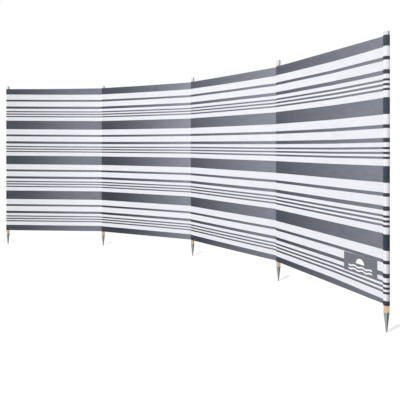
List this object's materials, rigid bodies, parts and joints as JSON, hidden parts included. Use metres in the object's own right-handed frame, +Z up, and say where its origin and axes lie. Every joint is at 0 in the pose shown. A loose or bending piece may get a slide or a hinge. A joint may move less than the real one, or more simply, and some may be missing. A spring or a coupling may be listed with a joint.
{
  "type": "beach windbreak",
  "caption": "Striped cloth windbreak on wooden poles with steel caps and spikes, standing in a shallow bow of hinged bays.",
  "frame": {"origin": "tip of the middle pole's spike, where it enters the ground", "axes": "+Z up along the poles; +X from pole 1 to pole 5, left to right seen from the sheltered side; +Y to the windward back"},
  "size_m": [3.0795, 0.6298, 1.362],
  "materials": {
    "pole_wood": "smooth round pine dowel, pale tan, unpainted",
    "cap_steel": "bright zinc-plated pressed steel",
    "spike_steel": "dull grey zinc-plated folded sheet",
    "striped_cloth": "woven cloth with level stripes in slate grey and white",
    "label_print": "dark woven patch with a light line motif"
  },
  "bodies": {
    "middle_bay": {"cloth_2": "striped_cloth", "top_hem_2": "striped_cloth", "bottom_hem_2": "striped_cloth", "pole_2": "pole_wood", "cap_2": "cap_steel", "spike_2": "spike_steel", "sleeve_2": "striped_cloth", "pole_3": "pole_wood", "cap_3": "cap_steel", "spike_3": "spike_steel", "sleeve_3": "striped_cloth"},
    "left_bay": {"cloth_1": "striped_cloth", "top_hem_1": "striped_cloth", "bottom_hem_1": "striped_cloth", "pole_1": "pole_wood", "cap_1": "cap_steel", "spike_1": "spike_steel", "sleeve_1": "striped_cloth"},
    "right_bay": {"cloth_3": "striped_cloth", "top_hem_3": "striped_cloth", "bottom_hem_3": "striped_cloth", "pole_4": "pole_wood", "cap_4": "cap_steel", "spike_4": "spike_steel", "sleeve_4": "striped_cloth"},
    "end_bay": {"cloth_4": "striped_cloth", "top_hem_4": "striped_cloth", "bottom_hem_4": "striped_cloth", "pole_5": "pole_wood", "cap_5": "cap_steel", "spike_5": "spike_steel", "sleeve_5": "striped_cloth", "label": "label_print"}
  },
  "joints": [
    {"name": "fold_at_pole_2", "type": "hinge", "parent": "middle_bay", "child": "left_bay", "pos_m": [-0.81316, -0.16636, 0], "axis": [0, 0, 1], "range_deg": [-100, 60]},
    {"name": "fold_at_pole_3", "type": "hinge", "parent": "middle_bay", "child": "right_bay", "pos_m": [0, 0, 0], "axis": [0, 0, -1], "range_deg": [-105, 55]},
    {"name": "fold_at_pole_4", "type": "hinge", "parent": "right_bay", "child": "end_bay", "pos_m": [0.80728, -0.19288, 0], "axis": [0, 0, -1], "range_deg": [-96, 64]}
  ]
}
